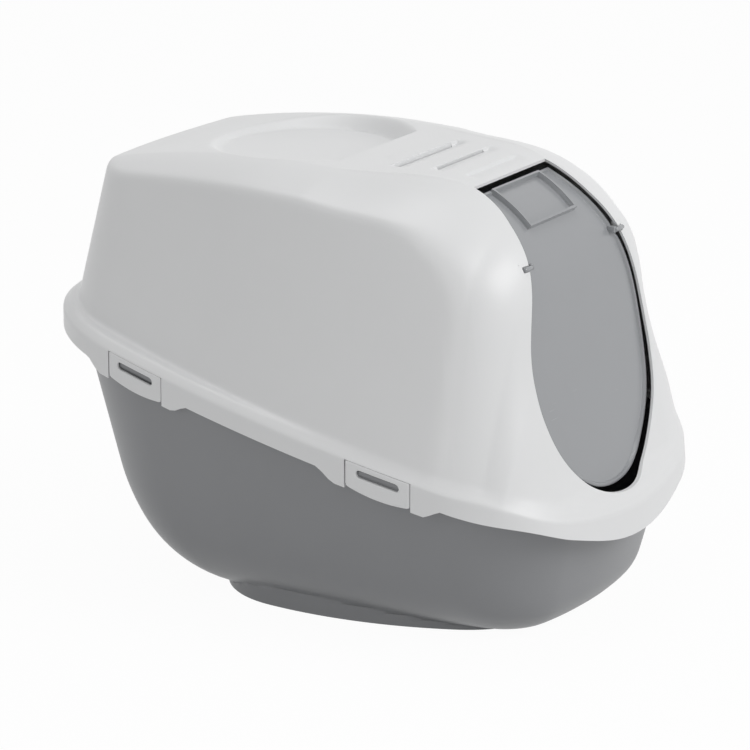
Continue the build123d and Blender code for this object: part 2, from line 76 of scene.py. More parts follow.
def ring_table(oval, grow):
    """Polar angles and radii of the rear and the front quarter of an oval grown by grow."""
    size, front, rear = oval
    tables = []
    for length, rounding in ((size[2], rear), (size[1], front)):
        rounding = [radius + grow for radius in rounding]
        a, b, c, low, high = quarter_arcs(size[0] + grow, length + grow, rounding)
        phi = np.linspace(0, math.pi / 2, 500)
        arc = np.where(phi < low, 0, np.where(phi > high, 1, 2))
        centre, radius = np.array([a, b, c])[arc], np.array(rounding)[arc]
        x, y = centre[:, 0] + radius * np.cos(phi), centre[:, 1] + radius * np.sin(phi)
        tables.append((np.arctan2(y, x), np.hypot(x, y)))
    return tables


def ring_radius(oval, grow, theta):
    """Distance from the centre to the oval, grown by grow, at polar angles theta."""
    fold = np.arctan2(np.abs(np.sin(theta)), np.abs(np.cos(theta)))
    rear = np.sin(theta) >= 0
    radii = []
    for step in (-GROW_STEP, 0.0, GROW_STEP):
        (ra, rr), (fa, fr) = ring_table(oval, step)
        radii.append(np.where(rear, np.interp(fold, ra, rr), np.interp(fold, fa, fr)))
    low, mid, high = radii
    t = np.asarray(grow) / GROW_STEP
    return mid + t * (high - low) / 2 + t * t * (high + low - 2 * mid) / 2


def outside(oval, x, y):
    """How far plan points lie outside an oval; negative inside."""
    size, front, rear = oval
    px, result = np.abs(x), np.zeros_like(x)
    for sign, length, rounding in ((-1, size[1], front), (1, size[2], rear)):
        a, b, c, low, high = quarter_arcs(size[0], length, rounding)
        py = sign * y
        to_side = np.hypot(px - a[0], py) - rounding[0]
        to_end = np.hypot(px, py - b[1]) - rounding[1]
        to_corner = np.hypot(px - c[0], py - c[1]) - rounding[2]
        at_side = np.arctan2(py, px - a[0]) < low
        at_end = np.arctan2(py - b[1], px) > high
        distance = np.where(at_side, to_side, np.where(at_end, to_end, to_corner))
        result = np.where(py >= 0, distance, result)
    return result


print("rim, side to side:", 2 * ring_radius(RIM_OVAL, 0.0, np.array([0.0]))[0], "mm")

# %% [markdown]
# A few lines steer the whole box: the roof line seen from the side, the outline of the doorway, and
# the rim where hood and tub part.  Each is a few points with a cubic spline through them, whose
# bend changes without steps, and so does the gloss on it.

# %% Smooth curves through points
def smooth_curve(points, count):
    """Natural cubic spline through points, sampled at count places."""
    p = np.array(points, float)
    t = np.concatenate([[0], np.cumsum(np.linalg.norm(np.diff(p, axis=0), axis=1))])
    h, n = np.diff(t), len(p)
    matrix, right = np.eye(n), np.zeros_like(p)
    for i in range(1, n - 1):
        matrix[i, i - 1:i + 2] = h[i - 1], 2 * (h[i - 1] + h[i]), h[i]
        right[i] = 6 * ((p[i + 1] - p[i]) / h[i] - (p[i] - p[i - 1]) / h[i - 1])
    bend = np.linalg.solve(matrix, right)
    at = np.linspace(0, t[-1], count)
    i = np.clip(np.searchsorted(t, at, side="right") - 1, 0, n - 2)
    a, b = (t[i + 1] - at)[:, None], (at - t[i])[:, None]
    hi = h[i][:, None]
    return ((bend[i] * a ** 3 + bend[i + 1] * b ** 3) / (6 * hi)
            + (p[i] / hi - bend[i] * hi / 6) * a + (p[i + 1] / hi - bend[i + 1] * hi / 6) * b)


ROOF_LINE = [(-313, 90), (-306, 143), (-294, 181), (-284, 220), (-273, 265), (-264, 318),
             (-250, 390), (-215, 438), (-166, 468), (-60, 476.6), (30, 479.5), (150, 473.6),
             (230, 462), (335, 438)]
DOORWAY = [(36, 150), (83, 181), (111, 220), (123, 265), (121, 318), (98, 397), (87, 430),
           (78, 456), (75, 470)]
SILL_HEIGHT = 144.7
DOORWAY_TOP_Y = -166.0
roof = smooth_curve(ROOF_LINE, 420)
roof_normal = np.gradient(roof, axis=0)[:, ::-1] * (-1, 1)
roof_normal /= np.linalg.norm(roof_normal, axis=1)[:, None]
print("roof crest:", roof[:, 1].max().round(1), "mm above the floor")

# %% The rim between hood and tub
RIM_HEIGHT, RIM_SLOPE = 233.0, 0.225
DIP_START, DIP_BEAD, DIP_LEDGE = -240.0, 0.00349, 0.00465
LEDGE_RISE = 9.0
CLIP_CENTRES = {"front": -146.0, "rear": 155.0}
CLIP_PLACES = [(side, centre) for side in (-1, 1) for centre in CLIP_CENTRES.values()]
CLIP_LENGTH, BAND_RAMP, BAND_DEPTH, BAND_DEPTH_AT_CLIP = 72.0, 16.0, 20.0, 31.0
LIP_POINTS = [(-259.1, 152), (-295.2, 139), (-316.5, 120), (-328, 100)]


def bead(y, dip=DIP_BEAD, rise=0.0):
    """Height of the bead on top of the rim band; it dips towards the lip at the front."""
    ahead = np.maximum(DIP_START - y, 0)
    return RIM_HEIGHT + rise + RIM_SLOPE * y - dip * ahead ** 2


def band_edge_points():
    """Lower edge of the rim band from front to rear, as (y, z)."""
    points = []
    for centre in sorted(CLIP_CENTRES.values()):
        for side in (-1, 1):
            near = centre + side * (CLIP_LENGTH / 2 + BAND_RAMP)
            away = near + side * BAND_RAMP
            pair = [(near, bead(near) - BAND_DEPTH_AT_CLIP), (away, bead(away) - BAND_DEPTH)]
            points += pair[::side]
    lip = smooth_curve([points[0]] + LIP_POINTS, 40)[::-1]
    return np.vstack([lip[:-1], points, [(400, bead(400) - BAND_DEPTH)]])


BAND_EDGE = band_edge_points()


def band_floor(y):
    return np.interp(y, BAND_EDGE[:, 0], BAND_EDGE[:, 1])


print("lip's lower edge:", band_floor(-328.0), "mm above the floor")

# %% [markdown]
# The hood is one moulding: a tapered wall, a roof with falling shoulders, and a ledge round the
# wall's foot.  We describe each form as a distance, positive outside and negative inside, and join
# them with a soft maximum or minimum.  The softness is a length in millimetres, so it works like
# the radius of a fillet, and it may change from place to place: tight along the shoulders, wide
# round the front cheeks.

# %% The hood as soft joined distances
WALL_LEVEL, WALL_DRAFT = 240.0, math.radians(13)
SHOULDER_SLOPE, SHOULDER_CURVE = 0.13, 0.0025
DECK_EDGE = [(-270.0, 120.0), (-250.0, 96.0), (-215.0, 77.0), (-165.0, 76.0), (-20.0, 112.0)]
SHOULDER_SOFT, CHEEK_SOFT, CHEEK_START, CHEEK_RUN = 9.0, 24.0, -105.0, 110.0
LEDGE_SOFT, BEAD_SOFT = 8.0, 3.5
GRID_STEP = 3.0
GRID_Y, GRID_Z = np.arange(-430, 431, GRID_STEP), np.arange(0, 571, GRID_STEP)


def soft_max(a, b, soft):
    h = np.maximum(soft - np.abs(a - b), 0) / soft
    return np.maximum(a, b) + h ** 3 * soft / 6


def soft_min(a, b, soft):
    return -soft_max(-a, -b, soft)


def smooth_step(t):
    t = np.clip(t, 0, 1)
    return t * t * (3 - 2 * t)


def roof_distance_table():
    """Distance of side-view points above the roof line, on a grid of y and z."""
    table = np.zeros((len(GRID_Y), len(GRID_Z)))
    for row, y in enumerate(GRID_Y):
        dy, dz = y - roof[:, 0], GRID_Z[:, None] - roof[:, 1]
        near = np.argmin(dy ** 2 + dz ** 2, axis=1)
        table[row] = dy[near] * roof_normal[near, 0]
        table[row] += dz[np.arange(len(GRID_Z)), near] * roof_normal[near, 1]
    return table


ROOF_TABLE = roof_distance_table()


def roof_distance(y, z):
    """The table read between its grid points."""
    fy, fz = (y - GRID_Y[0]) / GRID_STEP, (z - GRID_Z[0]) / GRID_STEP
    iy = np.clip(fy.astype(int), 0, len(GRID_Y) - 2)
    iz = np.clip(fz.astype(int), 0, len(GRID_Z) - 2)
    ty, tz = fy - iy, fz - iz
    low = ROOF_TABLE[iy, iz] * (1 - ty) + ROOF_TABLE[iy + 1, iz] * ty
    high = ROOF_TABLE[iy, iz + 1] * (1 - ty) + ROOF_TABLE[iy + 1, iz + 1] * ty
    return low * (1 - tz) + high * tz


def deck_edge(y):
    """Half width of the flat deck at y."""
    return np.interp(y, *np.array(DECK_EDGE).T)


def body_distance(x, y, z):
    wall = outside(WALL_OVAL, x, y) - (WALL_LEVEL - z) * math.tan(WALL_DRAFT)
    wall *= math.cos(WALL_DRAFT)
    past = np.maximum(np.abs(x) - deck_edge(y), 0)
    top = roof_distance(y, z) + SHOULDER_SLOPE * past + SHOULDER_CURVE * past ** 2
    cheek = smooth_step((CHEEK_START - y) / CHEEK_RUN)
    return soft_max(wall, top, SHOULDER_SOFT + (CHEEK_SOFT - SHOULDER_SOFT) * cheek)


def hood_distance(x, y, z):
    out, above = outside(RIM_OVAL, x, y), z - bead(y, DIP_LEDGE, LEDGE_RISE)
    chamfer = (out + above + LEDGE_RISE) / math.sqrt(2)
    band = soft_max(soft_max(out, above, BEAD_SOFT), chamfer, BEAD_SOFT)
    return soft_min(body_distance(x, y, z), band, LEDGE_SOFT)


probe = [np.array([0.0]), np.array([30.0]), np.array([480.0])]
print("distance at the crest:", hood_distance(*probe).round(2))

# %% [markdown]
# To turn the distances into a mesh we shoot rays from inside the hood and stop where the distance
# is zero.  Marching cubes would also do it, but its faces lie at random to the shape.  Rays let us
# choose the mesh lines: a grid over the deck, whose lines run along the steps and the hand
# recess, and columns that fall from the grid's edge down over the shoulders and walls.

# %% Rays from inside the hood
HOOD_CENTRE = np.array([0.0, 60.0, 150.0])
SCOOP_RADIUS, SCOOP_CENTRE_Y, SCOOP_FLOOR, SCOOP_RUN, SCOOP_SOFT = 115.0, 80.0, 463.0, 16.0, 6.0
HANDLE_SLOPE, HANDLE_SOFT = 3.0, 7.0
STEPS = [(-60.0, 68.0, 5.0), (-105.0, 58.0, 3.2), (-142.0, 52.0, 3.0)]    # y, half length, depth
STEP_RUN, STEP_FACE, STEP_END, STEP_FADE = 17.0, 2.0, 3.0, 7.0
RIDGE_RISE, RIDGE_INSET, RIDGE_WIDTH, RIDGE_START, RIDGE_RUN = 0.7, 1.0, 2.6, -10.0, 40.0


def cast(start, direction, reach=600.0):
    """Points where rays from inside leave the hood."""
    low, high = np.zeros(len(direction)), np.full(len(direction), reach)
    for _ in range(26):
        mid = (low + high) / 2
        inside = hood_distance(*(start + direction * mid[:, None]).T) < 0
        low, high = np.where(inside, mid, low), np.where(inside, high, mid)
    return start + direction * low[:, None]


def deck_height(x, y):
    """Height of the deck with its hand recess and its three steps."""
    up = np.tile([0.0, 0.0, 1.0], (len(x), 1))
    z = cast(np.column_stack([x, y, np.full(len(x), 300.0)]), up, 260.0)[:, 2]
    ridge = np.exp(-((np.abs(x) - deck_edge(y) - RIDGE_INSET) / RIDGE_WIDTH) ** 2)
    z = z + RIDGE_RISE * ridge * smooth_step((RIDGE_START - y) / RIDGE_RUN)
    for at, half_length, depth in STEPS:
        ahead = at - y
        drop = smooth_step(ahead / STEP_FACE) * (1 - smooth_step((ahead - STEP_FACE) / STEP_RUN))
        z = z - depth * drop * smooth_step((half_length + STEP_END - np.abs(x)) / STEP_FADE)
    out = np.hypot(x, y - SCOOP_CENTRE_Y) - SCOOP_RADIUS + SCOOP_RUN
    bowl = SCOOP_FLOOR + np.maximum(out, 0)
    bowl = soft_max(bowl, SCOOP_FLOOR - HANDLE_SLOPE * y, HANDLE_SOFT)
    return soft_min(z, bowl, SCOOP_SOFT)


# %% The deck's grid
DECK_HALF, DECK_Y, FLAT_SPACING, EDGE_SPACING, ROW_SPACING = 125.0, (-158.0, 215.0), 5.0, 2.4, 4.0
STEP_OFFSETS = (-0.8, 0, 0.7, 1.4, 2, 3.2)
HANDLE_LINES = [-9.0, -6.0, -4.0, -2.0, 0.0, 2.0, 4.5, 7.0]


def lines(low, high, spacing, extra=()):
    """Grid lines at about this spacing, with extra ones where a form needs them."""
    keep = list(extra)
    for value in np.linspace(low, high, int(round((high - low) / spacing)) + 1):
        if all(abs(value - other) > spacing * 0.45 for other in extra) or value in (low, high):
            keep.append(value)
    return np.array(sorted(set(keep)))


half_lines = np.concatenate([lines(0, 80, FLAT_SPACING), lines(82, DECK_HALF, EDGE_SPACING)])
grid_x = np.concatenate([-half_lines[:0:-1], half_lines])
step_lines = [at - offset for at, _, _ in STEPS for offset in STEP_OFFSETS]
grid_y = lines(*DECK_Y, ROW_SPACING, step_lines + HANDLE_LINES)
deck_x, deck_y = (g.ravel() for g in np.meshgrid(grid_x, grid_y))
deck = np.column_stack([deck_x, deck_y, deck_height(deck_x, deck_y)])
print("deck grid:", len(grid_x), "by", len(grid_y), "lines")

# %% Columns from the deck's edge down to the band
WALL_ROWS, LEDGE_ROWS, BAND_ROWS = 58, 16, 7
RIM_HALF, RIM_Y = 188.0, (-272.0, 262.0)
FOOT_INSET, FOOT_RISE, BEAD_DROP = 16.0, 12.0, 2.0

deck_index = np.arange(len(deck)).reshape(len(grid_y), len(grid_x))
border = np.concatenate([deck_index[0], deck_index[1:, -1], deck_index[-1, -2::-1],
                         deck_index[-2:0:-1, 0]])       # counter-clockwise from the front left
edge = deck[border]
spread_x = edge[:, 0] / DECK_HALF * RIM_HALF
spread_y = np.interp(edge[:, 1], DECK_Y, RIM_Y)
theta = np.arctan2(spread_y, spread_x)


def oval_ring(oval, grow, height):
    """Ring of points on an oval; height is a function of y."""
    radius = ring_radius(oval, grow, theta)
    x, y = radius * np.cos(theta), radius * np.sin(theta)
    return np.column_stack([x, y, height(y)])


foot_z = bead(oval_ring(RIM_OVAL, -FOOT_INSET, bead)[:, 1], DIP_LEDGE, LEDGE_RISE) + FOOT_RISE
foot_ring = oval_ring(WALL_OVAL, (WALL_LEVEL - foot_z) * math.tan(WALL_DRAFT), lambda y: foot_z)
bead_ring = oval_ring(RIM_OVAL, 0, lambda y: bead(y) - BEAD_DROP)
floor_ring = oval_ring(RIM_OVAL, 0, band_floor)
rings = []
for low_ring, high_ring, rows in ((foot_ring, edge, WALL_ROWS), (bead_ring, foot_ring, LEDGE_ROWS)):
    for row in range(1, rows + 1):
        aim = high_ring + (low_ring - high_ring) * row / rows - HOOD_CENTRE
        aim /= np.linalg.norm(aim, axis=1)[:, None]
        rings.append(cast(HOOD_CENTRE, aim))
last = rings[-1]
for row in range(1, BAND_ROWS + 1):
    rings.append(last + (floor_ring - last) * row / BAND_ROWS)
print("columns:", len(theta), "rows:", len(rings))

# %% [markdown]
# The deck and the columns now become one sheet of quads.  A Solidify modifier gives it the wall's
# thickness.  Then one Boolean per core cuts what the mould's cores leave open: the
# doorway, the four clip windows, the notches of the hinge pins and the two vent slits.  Cutting
# after thickening keeps every cut edge square through the wall, as a real core leaves it.

# %% Helpers that make mesh objects
def new_object(name, points, faces, scale=MM):
    mesh = bpy.data.meshes.new(name)
    mesh.from_pydata([tuple(p) for p in np.asarray(points, float) * scale], [], faces)
    mesh.validate()
    obj = bpy.data.objects.new(name, mesh)
    bpy.context.scene.collection.objects.link(obj)
    return obj


def apply_modifiers(obj):
    """Replace the mesh by what its modifiers make of it."""
    graph = bpy.context.evaluated_depsgraph_get()
    made = bpy.data.meshes.new_from_object(obj.evaluated_get(graph), depsgraph=graph)
    made.name = obj.name
    obj.modifiers.clear()
    obj.data = made


def shade(obj, sharp_degrees):
    """Shade smooth between sharp edges."""
    obj.data.shade_smooth()
    obj.data.set_sharp_from_angle(angle=math.radians(sharp_degrees))
    return obj


def tidy_mesh(obj, sharp_degrees=32.0):
    """Merge doubled points, turn faces outwards and shade."""
    bm = bmesh.new()
    bm.from_mesh(obj.data)
    bmesh.ops.remove_doubles(bm, verts=bm.verts, dist=0.01 * MM)
    bmesh.ops.recalc_face_normals(bm, faces=bm.faces)
    bm.to_mesh(obj.data)
    bm.free()
    return shade(obj, sharp_degrees)


def add_parts(obj, others, sharp_degrees=32.0):
    """Tidy other objects and join their meshes into obj."""
    bm = bmesh.new()
    bm.from_mesh(obj.data)
    for other in others:
        bm.from_mesh(tidy_mesh(other).data)
        bpy.data.objects.remove(other)
    bm.to_mesh(obj.data)
    bm.free()
    return shade(obj, sharp_degrees)


def block(name, corners, round_edges=0.0, segments=2):
    """Solid between eight corners: four below, then the four above them."""
    faces = [(3, 2, 1, 0), (4, 5, 6, 7), (0, 1, 5, 4), (1, 2, 6, 5), (2, 3, 7, 6), (3, 0, 4, 7)]
    obj = new_object(name, corners, faces)
    if round_edges:
        bevel = obj.modifiers.new("edges", "BEVEL")
        bevel.width, bevel.segments = round_edges * MM, segments
        apply_modifiers(obj)
    return obj


def box_corners(low, high):
    (x0, y0, z0), (x1, y1, z1) = low, high
    return [(x, y, z) for z in (z0, z1) for x, y in ((x0, y0), (x1, y0), (x1, y1), (x0, y1))]


def side_block(name, side, x, y, z, round_edges, segments=2):
    """Upright block from its ranges, mirrored to one side."""
    x = sorted(side * end for end in x)
    return block(name, box_corners(*zip(x, y, z)), round_edges, segments)


def ring_stack(name, stack):
    """Closed mesh from a stack of rings, with a face at each end."""
    k = len(stack[0])
    faces = [(r * k + i, r * k + (i + 1) % k, (r + 1) * k + (i + 1) % k, (r + 1) * k + i)
             for r in range(len(stack) - 1) for i in range(k)]
    faces += [tuple(range(k))[::-1], tuple(range((len(stack) - 1) * k, len(stack) * k))]
    return new_object(name, np.vstack(stack), faces)


def rod(name, start, end, radius, segments=24):
    """Round rod with softened ends between two points, not upright."""
    start, end = np.array(start, float), np.array(end, float)
    along = (end - start) / np.linalg.norm(end - start)
    side = np.cross(along, (0, 0, 1))
    side /= np.linalg.norm(side)
    up = np.cross(along, side)
    soft = min(0.5, radius / 3)
    profile = [(0, radius - soft), (soft, radius)]
    stations = [(start + along * s, r) for s, r in profile]
    stations += [(end - along * s, r) for s, r in reversed(profile)]
    turn = np.linspace(0, 2 * math.pi, segments, endpoint=False)
    return ring_stack(name, [[centre + r * (math.cos(t) * side + math.sin(t) * up) for t in turn]
                             for centre, r in stations])


# %% The hood's sheet
WALL = 3.0


def quads(a, b, c, d):
    return np.stack([a, b, c, d], axis=-1).reshape(-1, 4).tolist()


points = np.vstack([deck] + rings)
loops = np.vstack([border, np.arange(len(deck), len(points)).reshape(len(rings), -1)])
following = np.roll(loops, -1, axis=1)
faces = quads(deck_index[:-1, :-1], deck_index[:-1, 1:], deck_index[1:, 1:], deck_index[1:, :-1])
faces += quads(following[:-1], loops[:-1], loops[1:], following[1:])
hood = tidy_mesh(new_object("hood_shell", points, faces))
thick = hood.modifiers.new("wall", "SOLIDIFY")
thick.thickness, thick.offset, thick.use_even_offset = WALL * MM, -1, True
thick.use_quality_normals = True
apply_modifiers(hood)
print("hood sheet:", len(hood.data.polygons), "faces")

# %% What the mould's cores leave open
CLIP_GAP, PIVOT = 1.2, (-244.5, 397.0)
VENT_WIDTH, VENT_SETBACK, VENT_END, ABOVE, AHEAD = 2.5, 0.5, 10.0, 540.0, -420.0
WINDOW_GROWS, WINDOW_DROPS = (-7, 12), (60.0, 0.5)
NOTCH_X, NOTCH_Y, NOTCH_HALF = (94.0, 107.5), (-30, 3.2), 3.0


def rim_x(y, grow=0.0):
    """Half width of the rim at y, on its long side arc."""
    side = RIM_OVAL[1][0]
    return RIM_OVAL[0][0] - side + np.sqrt((side + grow) ** 2 - y * y)


def rim_block(name, side, ends, grows, drops):
    """Block that follows the rim between two y, two offsets and two drops below the bead."""
    return block(name, [(side * rim_x(y, grow), y, bead(y) - drop)
                        for grow, y, drop in box_corners(*zip(grows, ends, drops))])


def doorway_outline(inset, count=150):
    """Doorway in front view, as (x, z) from the top left down and round to the top right."""
    half = [(0, SILL_HEIGHT)] + DOORWAY
    whole = [(-x, z) for x, z in half[:0:-1]] + half
    line = smooth_curve(whole, count)
    tangent = np.gradient(line, axis=0)
    normal = np.column_stack([-tangent[:, 1], tangent[:, 0]])
    return line + inset * normal / np.linalg.norm(normal, axis=1)[:, None]


line = doorway_outline(0)
line = np.vstack([[(line[0, 0], ABOVE)], line, [(line[-1, 0], ABOVE)]])
cores = [ring_stack("doorway_core", [[(x, y, z) for x, z in line] for y in (AHEAD, DOORWAY_TOP_Y)])]
reach = CLIP_LENGTH / 2 + CLIP_GAP
cores += [rim_block("window_core", side, (centre - reach, centre + reach),
                    WINDOW_GROWS, WINDOW_DROPS) for side, centre in CLIP_PLACES]
for side in (-1, 1):
    cores.append(side_block("pin_core", side, NOTCH_X, [PIVOT[0] + y for y in NOTCH_Y],
                            (PIVOT[1] - NOTCH_HALF, PIVOT[1] + NOTCH_HALF), 0.8))
for at, half_length, _ in STEPS[:2]:
    reach = half_length - VENT_END
    cores.append(block("vent_core", box_corners((-reach, at - VENT_WIDTH - VENT_SETBACK, 450),
                                                (reach, at - VENT_SETBACK, ABOVE))))
for core in cores:
    tidy_mesh(core)
    cut = hood.modifiers.new("core", "BOOLEAN")
    cut.operation, cut.object, cut.solver = "DIFFERENCE", core, "EXACT"
    apply_modifiers(hood)
    bpy.data.objects.remove(core)
tidy_mesh(hood)
print("hood after cutting:", len(hood.data.polygons), "faces")

# %% [markdown]
# Inside the hood a few ribs do the work: a collar for the carbon pad, two ears for the grille's
# pins, bosses behind the door's pins and sockets for the clips' pins.  They are plain blocks, so
# we build them from their corners and join them to the hood.

# %% Collar, ears, bosses and sockets under the hood
PAD_SIZE, PAD_CENTRE_Y, PAD_TOP = (110.0, 94.0, 10.0), -78.0, 464.0
COLLAR_LOW, COLLAR_WALL, PAD_PLAY = 453.7, 2.0, 1.0
COLLAR_TOP, COLLAR_TOP_Y, COLLAR_SLOPE = 466.5, -128.0, 0.045
EAR = ((44.5, 49.5), (-28.2, -19), (448.7, 456.7))          # ranges of x, y and z
BOSS = ((100.5, 110.5), (-240, -234), (391, 403))
SOCKET_LENGTH, SOCKET_GROWS, SOCKET_DROPS = 6.0, (-10, -2), (7.7, 2.7)


def collar_plates():
    """Four plates round the pad, their tops buried in the sloping roof."""
    x0, y0 = PAD_SIZE[0] / 2 + PAD_PLAY, PAD_SIZE[1] / 2 + PAD_PLAY
    x1, y1 = x0 + COLLAR_WALL, y0 + COLLAR_WALL
    plates = []
    for x, y in (((-x1, x1), (y0, y1)), ((-x1, x1), (-y1, -y0)),
                 ((x0, x1), (-y0, y0)), ((-x1, -x0), (-y0, y0))):
        corners = box_corners(*zip(x, [PAD_CENTRE_Y + end for end in y], (COLLAR_LOW, 0)))
        top = [(x, y, COLLAR_TOP + (y - COLLAR_TOP_Y) * COLLAR_SLOPE) for x, y, _ in corners[4:]]
        plates.append(block("collar", corners[:4] + top))
    return plates


ribs = collar_plates()
ribs += [side_block("rib", side, *ranges, 0.4) for side in (-1, 1) for ranges in (EAR, BOSS)]
for side, centre in CLIP_PLACES:
    for end in (-1, 1):
        near = centre + end * (CLIP_LENGTH / 2 + CLIP_GAP)
        ribs.append(rim_block("socket", side, sorted((near, near + end * SOCKET_LENGTH)),
                              SOCKET_GROWS, SOCKET_DROPS))
hood = add_parts(hood, ribs)
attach(hood, "hood")
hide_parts("hood")
print("ribs joined:", len(ribs))

# %% [markdown]
# The tub is a deep bowl with a flange under the hood's band and an oval foot.  It could be revolved
# and stretched, but its section changes round the oval, so we stack rings instead.  Each ring is
# the oval at its height, drafted and rounded, or the foot's own oval where that reaches further.

# %% Rings of the tub
TUB_LEVEL, TUB_DRAFT = 110.0, math.radians(13.5)
BOWL_ROUND = (88.0, 52.0, 165.0)        # rounding of the lower edge at the sides, front and rear
FOOT_HEIGHT, FOOT_DRAFT = 24.0, math.radians(10)
FOOT_LEVELS, INSIDE_LEVELS = (0, 0.5, 1.5, 3, 5, 8, 12, 16, 20, 24), (21, 18, 14, 10, 7, 5, 3.5, 3)
INSIDE_FOOT = 21.5
FLANGE_TOP, FLANGE_DEPTH, FLANGE_INSET, FLANGE_SOFT = 8.3, 5.0, 4.5, 0.6
LUG_HALF, LUG_GROWS, LUG_DROPS = 22.0, (-10, -3.6), (12.8, 8.8)
BOWL_CORNER, LEVELS, HIGHEST = 40.0, 150, 330.0
SHARES = (0.05, 0.35, 0.65, 0.88, 0.985)        # of the radius, across the two flat floors
turn = np.linspace(-math.pi, math.pi, 420, endpoint=False)


def bowl_size(z, inset):
    """Half width, front and rear at height z: drafted above, rounded below."""
    slope, sizes = math.tan(TUB_DRAFT), []
    for length, radius in zip(TUB_OVAL[0], BOWL_ROUND):
        wall = length + (z - TUB_LEVEL) * slope - inset
        middle = length + (radius - TUB_LEVEL) * slope - radius / math.cos(TUB_DRAFT)
        curve = middle + math.sqrt(max((radius - inset) ** 2 - (radius - z) ** 2, 0))
        sizes.append(wall if z > radius * (1 - math.sin(TUB_DRAFT)) else curve)
    return sizes


def bowl_table(inset):
    """Radii of the tub for every direction, at levels that crowd towards the floor."""
    rows = []
    for step in range(LEVELS + 1):
        size = bowl_size(HIGHEST * (step / LEVELS) ** 2, inset)
        grow = size[0] - TUB_OVAL[0][0]
        side, end, corner = (radius + grow for radius in TUB_OVAL[1])
        rounding = (side, end, max(corner, BOWL_CORNER))
        rows.append(ring_radius((size, rounding, rounding), 0.0, turn))
    return np.array(rows)


BOWL_TABLES = {inset: bowl_table(inset) for inset in (0.0, WALL)}


def bowl_radius(z, inset=0.0):
    """Radius of the tub at height z, which may differ from direction to direction."""
    step = np.sqrt(np.clip(z + 0 * turn, 0, HIGHEST) / HIGHEST) * LEVELS
    low = np.clip(step.astype(int), 0, LEVELS - 1)
    table, columns = BOWL_TABLES[inset], np.arange(len(turn))
    return table[low, columns] + (step - low) * (table[low + 1, columns] - table[low, columns])


def tub_radius(z, inset=0.0):
    foot = ring_radius(FOOT_OVAL, -z * math.tan(FOOT_DRAFT) - inset, turn)
    foot = np.where(z <= FOOT_HEIGHT - inset + 0.01, foot, 0.0)
    return np.maximum(bowl_radius(z, inset), foot)


def tub_top(drop):
    """Height of the tub all round, a given drop below the bead."""
    z = np.full(len(turn), 220.0)
    for _ in range(4):
        z = bead(bowl_radius(z) * np.sin(turn)) - drop
    return z


def ring(radius, z):
    return np.column_stack([radius * np.cos(turn), radius * np.sin(turn), z + 0 * turn])


def tub_rings():
    """Rings from the middle of the underside, out, up, over the flange and back down inside."""
    stack = [ring(tub_radius(0.0) * share, 0.0) for share in SHARES]
    stack += [ring(tub_radius(z) - FLANGE_SOFT * (z == 0), z) for z in FOOT_LEVELS]
    under, top = tub_top(FLANGE_TOP + FLANGE_DEPTH), tub_top(FLANGE_TOP)
    stack += [ring(bowl_radius(z), z) for z in FOOT_HEIGHT + (under - FOOT_HEIGHT)
              * smooth_step(np.linspace(0.06, 1, 40))[:, None]]
    rim = ring_radius(RIM_OVAL, -FLANGE_INSET, turn)
    rim_bead, soft = bead(rim * np.sin(turn)), FLANGE_SOFT
    for inset, drop in ((soft, FLANGE_DEPTH), (0, FLANGE_DEPTH - soft), (0, soft), (soft, 0)):
        stack.append(ring(rim - inset, rim_bead - FLANGE_TOP - drop))
    stack += [ring(bowl_radius(z, WALL), z) for z in INSIDE_FOOT + (top - INSIDE_FOOT)
              * smooth_step(np.linspace(1, 0.02, 40))[:, None]]
    stack += [ring(tub_radius(z, WALL), z) for z in INSIDE_LEVELS]
    return stack + [ring(tub_radius(WALL, WALL) * share, WALL) for share in SHARES[::-1]]


tub = tidy_mesh(ring_stack("tub_shell", tub_rings()), 40)
lugs = [rim_block("lug", side, (centre - LUG_HALF, centre + LUG_HALF), LUG_GROWS, LUG_DROPS)
        for side, centre in CLIP_PLACES]
tub = add_parts(tub, lugs, 40)
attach(tub, "tub")
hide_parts("tub")
print("tub:", len(tub.data.polygons), "faces")

# %% [markdown]
# The door and the clips are thin bent plates.  We draw each as a flat outline, fill it with
# triangles and lift them onto the curved hood.  Blender's Delaunay function keeps every line we
# give it, so the raised frames get crisp edges where a plain grid would need far more faces.

# %% Flat plates lifted into place
EDGE_ROUND = [(0.0, 0.8), (0.25, 0.3), (0.8, 0.0)]      # inset from the edge, drop of the face


def offset_loop(loop, inset):
    """Counter-clockwise loop drawn in by inset, with mitred corners."""
    edge = np.roll(loop, -1, axis=0) - loop
    normal = np.column_stack([-edge[:, 1], edge[:, 0]])
    normal /= np.linalg.norm(normal, axis=1)[:, None]
    before = np.roll(normal, 1, axis=0)
    join = (normal + before) / (1 + (normal * before).sum(axis=1))[:, None]
    return loop + inset * join


def is_inside(points, loop):
    """Even-odd test of points against a closed loop."""
    x, y = points[:, :1], points[:, 1:]
    (x0, y0), (x1, y1) = loop.T, np.roll(loop, -1, axis=0).T
    level = np.where(y1 == y0, 1e-9, y1 - y0)
    crosses = ((y0 > y) != (y1 > y)) & (x < (x1 - x0) * (y - y0) / level + x0)
    return crosses.sum(axis=1) % 2 == 1


